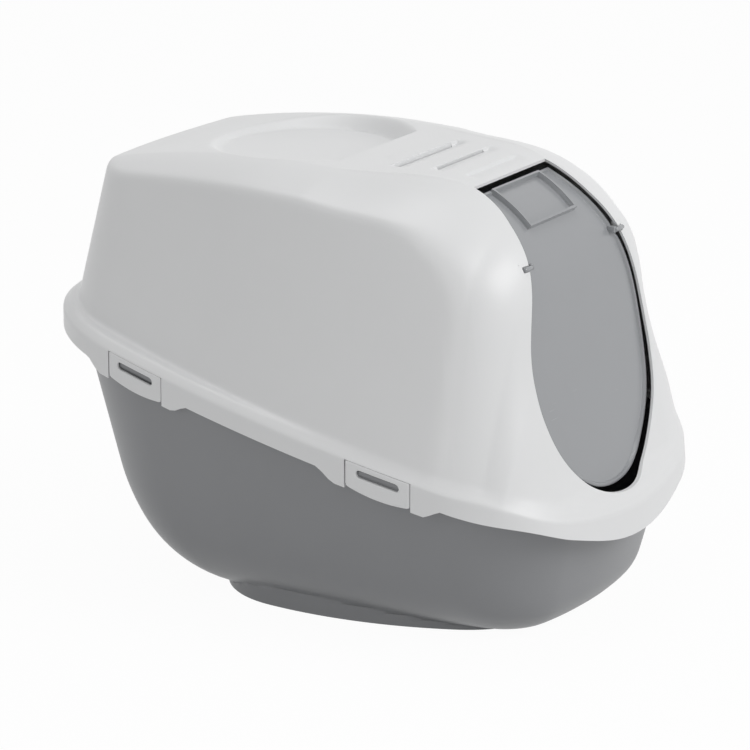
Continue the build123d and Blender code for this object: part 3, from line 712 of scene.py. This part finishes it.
def fill(outer, holes, kept, spacing):
    """Triangles between an outline and its holes, which keep the given closed lines."""
    loops = [offset_loop(outer, inset) for inset, _ in EDGE_ROUND]
    loops += [offset_loop(hole, -inset) for hole in holes for inset, _ in EDGE_ROUND] + kept
    low, high = outer.min(axis=0), outer.max(axis=0)
    gx, gy = np.meshgrid(*(np.arange(low[i] + spacing, high[i], spacing) for i in (0, 1)))
    lattice = np.column_stack([gx.ravel(), gy.ravel()])
    lattice = lattice[is_inside(lattice, offset_loop(outer, spacing * 0.6))]
    for loop in loops:
        gap = np.linalg.norm(lattice[:, None] - loop[None], axis=2).min(axis=1)
        lattice = lattice[gap > spacing * 0.45]
    edges, count = [], 0
    for loop in loops:
        edges += [(count + i, count + (i + 1) % len(loop)) for i in range(len(loop))]
        count += len(loop)
    points = [Vector(p) for p in np.vstack(loops + [lattice])]
    made = delaunay_2d_cdt(points, edges, [], 0, 1e-5)
    flat, triangles = np.array([p[:] for p in made[0]]), np.array(made[2])
    middle = flat[triangles].mean(axis=1)
    keep = is_inside(middle, outer)
    for hole in holes:
        keep &= ~is_inside(middle, hole)
    return flat, triangles[keep]


def plate(name, flat, triangles, front, back):
    """Closed plate from one triangulation, given the front and back points."""
    count = len(flat)
    edges = np.vstack([triangles[:, [0, 1]], triangles[:, [1, 2]], triangles[:, [2, 0]]])
    seen = {tuple(edge) for edge in edges.tolist()}
    rim = [(a, b) for a, b in seen if (b, a) not in seen]
    faces = triangles.tolist() + (triangles[:, ::-1] + count).tolist()
    faces += [(b, a, a + count, b + count) for a, b in rim]
    return tidy_mesh(new_object(name, np.vstack([front, back]), faces), 50)


def edge_drop(flat, loops):
    """How far the face falls away near the edges."""
    gap = np.full(len(flat), 10.0)
    for loop in loops:
        end = np.roll(loop, -1, axis=0)
        run = end - loop
        t = ((flat[:, None] - loop) * run).sum(axis=2) / (run ** 2).sum(axis=1)
        near = loop + np.clip(t, 0, 1)[:, :, None] * run
        gap = np.minimum(gap, np.linalg.norm(flat[:, None] - near, axis=2).min(axis=1))
    return gap, np.interp(gap, *np.array(EDGE_ROUND).T)


# %% The swing door's outline along the hood's bent front
DOOR_GAP, DOOR_RECESS, DOOR_RIM_RISE = 3.0, 9.0, 2.5
RELIEF_X, RELIEF_HALF = 94.0, 9.0               # edge cut back beside the pins
FRAME_HALF, FRAME_LOW, FRAME_RISE, FRAME_SETBACK = 50.0, 424.0, 5.5, 1.2
DOOR_SPACING, RIM_INSETS = 5.0, (3.9, 4.6, 5.4)
FRAME_INSETS = (-0.4, 0.1, 0.6, 3.4, 3.9, 4.4)
PIN_X, PIN_RADIUS = (90, 106.5), 2.5
KNUCKLE_X, KNUCKLE_Y, KNUCKLE_HALF = (87.5, 92.5), (-0.5, 8.5), 3.5
front_line = roof - DOOR_RECESS * roof_normal
run = np.concatenate([[0], np.cumsum(np.linalg.norm(np.diff(roof, axis=0), axis=1))])
top_run = np.interp(DOORWAY_TOP_Y - DOOR_GAP, front_line[:, 0], run)
rising = run < top_run + 5


def door_outline():
    """Counter-clockwise outline of the door as (x, length along the roof line)."""
    line = doorway_outline(DOOR_GAP)
    beside = np.abs(line[:, 1] - PIVOT[1]) < RELIEF_HALF
    line[beside, 0] = np.clip(line[beside, 0], -RELIEF_X, RELIEF_X)
    line[:, 1] = np.interp(line[:, 1], front_line[rising, 1], run[rising])
    line = line[line[:, 1] < top_run - 1.5]
    corner = line[0, 0] * 0.998
    return np.vstack([[(corner, top_run)], line, [(-corner, top_run)],
                      [(x, top_run) for x in np.linspace(-corner, corner, 33)[1:-1]]])


def lift_to_front(flat, depth):
    """Points on the bent front, depth below the hood's face."""
    y, z, ny, nz = (np.interp(flat[:, 1], run, column)
                    for column in (*roof.T, *roof_normal.T))
    return np.column_stack([flat[:, 0], y - depth * ny, z - depth * nz])


outline = door_outline()
frame_low = np.interp(FRAME_LOW, front_line[rising, 1], run[rising])
frame_high = top_run - FRAME_SETBACK
rect = np.array([(-FRAME_HALF, frame_low), (FRAME_HALF, frame_low),
                 (FRAME_HALF, frame_high), (-FRAME_HALF, frame_high)])
print("door outline:", len(outline), "points, length", round(top_run - outline[:, 1].min()), "mm")

# %% The door's panel with its raised edge and finger frame
def step_points(loop, spacing=4.0):
    """Loop with extra points along its long edges."""
    parts = []
    for a, b in zip(loop, np.roll(loop, -1, axis=0)):
        count = max(int(np.linalg.norm(b - a) / spacing), 1)
        parts.append(a + (b - a) * np.linspace(0, 1, count, endpoint=False)[:, None])
    return np.vstack(parts)


kept = [offset_loop(outline, inset) for inset in RIM_INSETS]
kept += [step_points(offset_loop(rect, inset)) for inset in FRAME_INSETS]
flat, triangles = fill(outline, [], kept, DOOR_SPACING)
gap, drop = edge_drop(flat, [outline])
rim_rise = DOOR_RIM_RISE * (1 - smooth_step((gap - RIM_INSETS[0]) / 1.5))
inset = np.minimum(FRAME_HALF - np.abs(flat[:, 0]),
                   np.minimum(flat[:, 1] - frame_low, frame_high - flat[:, 1]))
frame_rise = FRAME_RISE * smooth_step(inset - FRAME_INSETS[0])
frame_rise *= 1 - smooth_step(inset - FRAME_INSETS[3])
rise = np.maximum(rim_rise, frame_rise) - drop
front = lift_to_front(flat, DOOR_RECESS - rise)
door = plate("door_panel", flat, triangles, front, lift_to_front(flat, DOOR_RECESS + WALL))
pins = []
for side in (-1, 1):
    pins.append(rod("pin", *((side * x, *PIVOT) for x in PIN_X), PIN_RADIUS))
    pins.append(side_block("knuckle", side, KNUCKLE_X, [PIVOT[0] + y for y in KNUCKLE_Y],
                           (PIVOT[1] - KNUCKLE_HALF, PIVOT[1] + KNUCKLE_HALF), 1.0, 3))
door = add_parts(door, pins, 50)
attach(door, "swing_door")
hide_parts("swing_door")
print("door:", len(door.data.polygons), "faces")

# %% [markdown]
# Each clip is a small bowed plate with a finger slot.  It hangs from a barrel behind its top edge
# and snaps over a lug of the tub.  All four share one drawing, and each is bent round its own
# stretch of the rim.

# %% The clips
CLIP_TOP, CLIP_DEPTH, CLIP_BOW = 0.9, 32.0, 4.0
SLOT_HALF, SLOT_RADIUS, SLOT_DROP = 20.0, 4.0, 11.0
CLIP_AXIS = 5.5
BARREL_HALF, BARREL_RADIUS, CLIP_PIN_HALF, CLIP_PIN_RADIUS = 34.8, 2.2, 39.8, 1.5
WEB_HALF, WEB_GROWS, WEB_DROPS = 34.5, (-5.0, -2.6), (7.2, 3.8)


def clip_outline():
    """Counter-clockwise outline as (distance along the rim, height from the bead)."""
    half = CLIP_LENGTH / 2
    u = np.linspace(-half + 3, half - 3, 21)
    low = [(x, CLIP_BOW * (x / half) ** 2 - CLIP_DEPTH) for x in u]
    corner = [(half - 0.9, low[-1][1] + 1.2), (half, low[-1][1] + 3.6)]
    side = [(half, z) for z in np.linspace(corner[-1][1], -CLIP_TOP - 1.4, 6)[1:]]
    right = low[11:] + corner + side + [(half - 0.4, -CLIP_TOP - 0.4), (half - 1.4, -CLIP_TOP)]
    top = [(x, -CLIP_TOP) for x in np.linspace(half - 1.4, 0, 9)[1:-1]]
    whole = [(0, -CLIP_DEPTH)] + right + top
    return np.array(whole + [(0, -CLIP_TOP)] + [(-x, z) for x, z in whole[:0:-1]])


def slot_outline():
    a = np.linspace(-math.pi / 2, math.pi / 2, 13)
    right = np.column_stack([SLOT_HALF + SLOT_RADIUS * np.cos(a), SLOT_RADIUS * np.sin(a)])
    return step_points(np.vstack([right, -right]) + (0, -SLOT_DROP))


clip_flat, clip_triangles = fill(clip_outline(), [slot_outline()], [], 3.0)
clip_drop = edge_drop(clip_flat, [clip_outline(), slot_outline()])[1]


def make_clip(row, hand, side):
    centre = CLIP_CENTRES[row]
    y = centre + clip_flat[:, 0]
    faces = [np.column_stack([side * rim_x(y, -depth), y, bead(y) + clip_flat[:, 1]])
             for depth in (clip_drop, WALL)]
    order = clip_triangles if side > 0 else clip_triangles[:, ::-1]
    clip = plate(f"{row}_{hand}_clip_plate", clip_flat, order, *faces)
    slope = rim_x(centre + 1) - rim_x(centre)
    along = np.array([side * slope, 1.0, RIM_SLOPE])
    along /= np.linalg.norm(along)
    middle = np.array([side * rim_x(centre, -CLIP_AXIS), centre, bead(centre) - CLIP_AXIS])
    hinge = [rod("pin", middle - along * half, middle + along * half, radius)
             for half, radius in ((BARREL_HALF, BARREL_RADIUS), (CLIP_PIN_HALF, CLIP_PIN_RADIUS))]
    hinge.append(rim_block("web", side, (centre - WEB_HALF, centre + WEB_HALF),
                           WEB_GROWS, WEB_DROPS))
    clip = add_parts(clip, hinge, 50)
    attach(clip, f"{row}_{hand}_clip")
    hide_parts(f"{row}_{hand}_clip")
    return clip


clips = [make_clip(row, hand, side) for row in CLIP_CENTRES
         for hand, side in (("left", -1), ("right", 1))]
print("clips:", [clip.name for clip in clips])

# %% [markdown]
# The carbon pad is a soft felt block.  Cloth simulation would puff it like a cushion, but pressed
# felt hardly swells: its faces crown by under a millimetre and its sides draw in a little between
# the corners.  So we shape it directly, from a fine rounded block.

# %% The carbon pad
PAD_MARGIN, PAD_ROUND, PAD_CUTS = (0.6, 0.6, 0.4), (4.0, 4.0, 3.2), 23
CROWN, DRAW_X, DRAW_Y = 0.10, 0.012, 0.014


def make_pad():
    half = np.array(PAD_SIZE) / 2 - PAD_MARGIN
    inner = half - PAD_ROUND
    bm = bmesh.new()
    bmesh.ops.create_cube(bm, size=2.0)
    bmesh.ops.subdivide_edges(bm, edges=bm.edges[:], cuts=PAD_CUTS, use_grid_fill=True)
    for vert in bm.verts:
        p = np.array(vert.co[:])
        q = p * half
        core = np.clip(q, -inner, inner)
        ball = (q - core) / PAD_ROUND
        length = np.linalg.norm(ball)
        if length > 0:
            q = core + ball / length * np.max(np.abs(ball)) * PAD_ROUND
        q[2] *= 1 - CROWN * (p[0] ** 2 + p[1] ** 2) / 2
        q[0] *= 1 - DRAW_X * (1 - p[1] ** 2)
        q[1] *= 1 - DRAW_Y * (1 - p[0] ** 2)
        q += (0, PAD_CENTRE_Y, PAD_TOP - PAD_SIZE[2] / 2)
        vert.co = Vector(q * MM)
    pad = new_object("carbon_pad", [], [])
    bm.to_mesh(pad.data)
    bm.free()
    pad.data.shade_smooth()
    return pad


pad = make_pad()
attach(pad, "hood")
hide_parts("filter_pad")
print("pad:", len(pad.data.polygons), "faces")

# %% [markdown]
# Moulded plastic is never one flat colour.  The mould's grain breaks the gloss, the resin flows in
# faint clouds, and hands scuff it.  The first group makes the grain's height and the clouds, the
# second a mask of fine scuffs.  Every plastic here uses both, each with its own values, which is
# what node groups are for.

# %% Node groups shared by the plastics
def feed(tree, node, inputs):
    """Give each input a value or the socket that feeds it."""
    for label, value in inputs.items():
        if isinstance(value, bpy.types.NodeSocket):
            tree.links.new(value, node.inputs[label])
        else:
            node.inputs[label].default_value = value


def add_node(tree, kind, inputs, output=0, **settings):
    """One output of a new shader node."""
    node = tree.nodes.new("ShaderNode" + kind)
    for name, value in settings.items():
        setattr(node, name, value)
    feed(tree, node, inputs)
    return node.outputs[output]


def combine(tree, operation, a, b):
    return add_node(tree, "Math", {0: a, 1: b}, operation=operation)


def place_on(tree):
    return add_node(tree, "TexCoord", {}, "Object")


def noise(tree, vector, scale, detail, roughness=0.5):
    return add_node(tree, "TexNoise", {"Vector": vector, "Scale": scale, "Detail": detail,
                                       "Roughness": roughness}, "Fac")


def stretched(tree, scale, rotation):
    """Coordinates scaled apart, so that noise turns into streaks."""
    return add_node(tree, "Mapping", {"Vector": place_on(tree), "Scale": scale,
                                      "Rotation": rotation}, "Vector")


def map_range(tree, value, end, low, high):
    """Map Range node with one end set, From or To; the other stays 0 to 1."""
    return add_node(tree, "MapRange", {"Value": value, end + " Min": low, end + " Max": high},
                    "Result")


def new_group(name, inputs, output_names):
    tree = bpy.data.node_groups.new(name, "ShaderNodeTree")
    for label, value in inputs.items():
        tree.interface.new_socket(label, in_out="INPUT", socket_type="NodeSocketFloat")
        tree.interface.items_tree[label].default_value = value
    for label in output_names:
        tree.interface.new_socket(label, in_out="OUTPUT", socket_type="NodeSocketFloat")
    return tree, tree.nodes.new("NodeGroupInput").outputs, tree.nodes.new("NodeGroupOutput")


def mould_grain_group():
    """Grain height from fine and coarse noise, and slow clouds for colour."""
    tree, given, end = new_group("mould_grain", {"Grain Scale": 1400.0, "Orange Peel": 0.4},
                                 ["Height", "Clouds"])
    place = place_on(tree)
    fine = noise(tree, place, given["Grain Scale"], 2.0)
    peel = combine(tree, "MULTIPLY", noise(tree, place, 90.0, 1.0), given["Orange Peel"])
    feed(tree, end, {"Height": combine(tree, "ADD", fine, peel),
                     "Clouds": noise(tree, place, 9.0, 4.0, 0.6)})
    return tree


def scuff_group():
    """Mask of fine, mostly level scratches that come and go in patches."""
    tree, given, end = new_group("scuffs", {"Density": 0.3}, ["Mask"])
    streaks = noise(tree, stretched(tree, (18.0, 18.0, 900.0), (0.12, 0.08, 0.0)), 1.0, 2.0, 0.7)
    patches = noise(tree, place_on(tree), 14.0, 2.0)
    both = combine(tree, "MULTIPLY", map_range(tree, streaks, "From", 0.62, 0.74),
                   map_range(tree, patches, "From", 0.52, 0.7))
    feed(tree, end, {"Mask": combine(tree, "MULTIPLY", both, given["Density"])})
    return tree


MOULD_GRAIN, SCUFFS = mould_grain_group(), scuff_group()
print("groups:", MOULD_GRAIN.name, SCUFFS.name)

# %% [markdown]
# All the plastics are one recipe with other numbers: a colour that drifts with the clouds, a gloss
# that the scuffs dull, and the grain as a bump.  The hood is satin, the tub a little duller, and
# the door a smoked, glossier sheet that lets some of the dark inside through.

# %% The plastics
def new_material(name):
    """New material, its node tree and its Principled shader."""
    material = bpy.data.materials.new(name)
    material.use_nodes = True
    return material, material.node_tree, material.node_tree.nodes["Principled BSDF"]


def blend_colours(tree, factor, a, b):
    """Colour between a and b by a factor that varies over the surface."""
    return add_node(tree, "Mix", {"A": (*a, 1), "B": (*b, 1), "Factor": factor}, "Result",
                    data_type="RGBA")


def bumped(tree, height, strength, distance):
    return add_node(tree, "Bump", {"Strength": strength, "Distance": distance * MM,
                                   "Height": height}, "Normal")


def plastic(name, colour, drift, gloss, grain_scale, grain_depth, peel, density):
    """Satin moulded plastic; gloss is the roughness where clean and where scuffed."""
    material, tree, surface = new_material(name)
    grain = add_node(tree, "Group", {"Grain Scale": grain_scale, "Orange Peel": peel},
                     node_tree=MOULD_GRAIN).node.outputs
    scuffs = add_node(tree, "Group", {"Density": density}, "Mask", node_tree=SCUFFS)
    darker = tuple(channel * (1 - drift) for channel in colour)
    feed(tree, surface, {"Base Color": blend_colours(tree, grain["Clouds"], darker, colour),
                         "Roughness": map_range(tree, scuffs, "To", *gloss),
                         "Normal": bumped(tree, grain["Height"], 0.5, grain_depth)})
    return material, surface


hood_plastic, _ = plastic("hood_satin", (0.74, 0.745, 0.75), 0.04, (0.36, 0.6), 1500.0, 0.05,
                          0.5, 0.5)
tub_plastic, _ = plastic("tub_satin", (0.245, 0.25, 0.26), 0.08, (0.40, 0.7), 1300.0, 0.06,
                         0.5, 0.8)
door_plastic, door_surface = plastic("door_smoke", (0.36, 0.37, 0.385), 0.05, (0.2, 0.45),
                                     1700.0, 0.015, 0.7, 0.6)
door_surface.inputs["Alpha"].default_value = 0.84
door_surface.inputs["Coat Weight"].default_value = 0.3
door_surface.inputs["Coat Roughness"].default_value = 0.12
for obj, material in [(hood, hood_plastic), (tub, tub_plastic), (door, door_plastic)]:
    obj.data.materials.append(material)
for clip in clips:
    clip.data.materials.append(hood_plastic)
for node_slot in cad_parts["filter_grille"].material_slots:
    node_slot.material = hood_plastic
print("plastics:", hood_plastic.name, tub_plastic.name, door_plastic.name)

# %% [markdown]
# Carbon felt is matte and nearly black, with paler fibres lying every way.  Two noises stretched
# across each other read as fibres at a millimetre's scale.

# %% The carbon felt
def felt():
    material, tree, surface = new_material("carbon_felt")
    fibres = combine(tree, "MAXIMUM", *(noise(tree, stretched(tree, scale, (0, 0, angle)),
                                              1.0, 4.0, 0.7)
                                        for scale, angle in (((260, 1500, 900), 0.4),
                                                             ((1500, 260, 900), -0.5))))
    colour = blend_colours(tree, fibres, (0.012, 0.012, 0.013), (0.06, 0.06, 0.062))
    feed(tree, surface, {"Base Color": colour, "Normal": bumped(tree, fibres, 1.0, 0.5),
                         "Roughness": 0.95, "Sheen Weight": 0.3})
    return material


pad.data.materials.append(felt())
print("felt on:", pad.name)

# %% [markdown]
# The set is a pale floor under a white world.  The floor mixes a matte white, which takes the
# object's shadow, with a glow that only the camera and clear or glossy surfaces see.  Kept off the
# diffuse rays, the glow never lights the object.

# %% Floor and world
FLOOR_GLOW, AMBIENT, FLOOR_REACH = 0.96, 0.42, 9.0


def sees_backdrop(tree):
    """One for rays from the camera and for reflected or transmitted ones."""
    path = tree.nodes.new("ShaderNodeLightPath").outputs
    seen = combine(tree, "MAXIMUM", path["Is Camera Ray"], path["Is Glossy Ray"])
    return combine(tree, "MAXIMUM", seen, path["Is Transmission Ray"])


def make_floor():
    corners = box_corners((-FLOOR_REACH, -FLOOR_REACH, 0), (FLOOR_REACH, FLOOR_REACH, 0))[:4]
    floor = new_object("floor", corners, [(0, 1, 2, 3)], 1)
    material, tree, _ = new_material("floor_white")
    tree.nodes.clear()
    matte = add_node(tree, "BsdfDiffuse", {"Color": (0.82, 0.82, 0.82, 1)})
    glow = add_node(tree, "Emission", {})
    share = combine(tree, "MULTIPLY", sees_backdrop(tree), FLOOR_GLOW)
    mix = add_node(tree, "MixShader", {0: share, 1: matte, 2: glow})
    feed(tree, tree.nodes.new("ShaderNodeOutputMaterial"), {"Surface": mix})
    floor.data.materials.append(material)
    return floor


def make_world():
    world = bpy.data.worlds.new("studio")
    world.use_nodes = True
    tree = world.node_tree
    level = map_range(tree, sees_backdrop(tree), "To", AMBIENT, 1.0)
    feed(tree, tree.nodes["Background"], {"Color": (1, 1, 1, 1), "Strength": level})
    bpy.context.scene.world = world


floor = make_floor()
make_world()
print("floor glow:", FLOOR_GLOW, "ambient:", AMBIENT)

# %% [markdown]
# Large soft lamps suit a smooth pale object, because its gloss shows their edges.  The key stands
# ahead of the doorway and above, so the front and the deck are bright and the long side falls a
# step darker, which makes the form readable.

# %% Lamps
def soft_lamp(name, place, target, size, watts):
    light = bpy.data.lights.new(name, "AREA")
    light.shape, light.size, light.energy = "DISK", size, watts
    lamp = bpy.data.objects.new(name, light)
    lamp.location = place
    lamp.rotation_euler = (Vector(target) - Vector(place)).to_track_quat("-Z", "Y").to_euler()
    bpy.context.scene.collection.objects.link(lamp)
    return lamp


soft_lamp("key", (0.6, -3.6, 2.6), (0, 0, 0.25), 2.6, 80)
soft_lamp("fill", (-4.2, -0.8, 1.9), (0, 0, 0.25), 2.4, 22)
soft_lamp("top", (0.2, 0.6, 4.0), (0, 0, 0.3), 2.6, 30)

# %% [markdown]
# The camera stands to the front left, a little above the roof.  A long lens from over four metres
# keeps the sides nearly parallel, and a small shift of the frame centres the box in the picture.

# %% Camera
CAMERA_TARGET, CAMERA_DISTANCE = Vector((0, 0, 0.24)), 4.2
AZIMUTH, ELEVATION = math.radians(-58.5), math.radians(16.3)
FOCAL_PIXELS, FRAME_PIXELS = 3864, 750
camera_data = bpy.data.cameras.new("camera")
camera = bpy.data.objects.new("camera", camera_data)
away = Vector((math.sin(AZIMUTH) * math.cos(ELEVATION), -math.cos(AZIMUTH) * math.cos(ELEVATION),
               math.sin(ELEVATION)))
camera.location = CAMERA_TARGET + away * CAMERA_DISTANCE
camera.rotation_euler = (-away).to_track_quat("-Z", "Y").to_euler()
camera_data.sensor_width = 36.0
camera_data.lens = FOCAL_PIXELS / FRAME_PIXELS * 36.0
camera_data.shift_x, camera_data.shift_y = 0.0003, -0.0227
bpy.context.scene.collection.objects.link(camera)
bpy.context.scene.camera = camera
bpy.context.scene.view_settings.view_transform = "Standard"
print("camera at", [round(c, 3) for c in camera.location], "lens", round(camera_data.lens, 1))
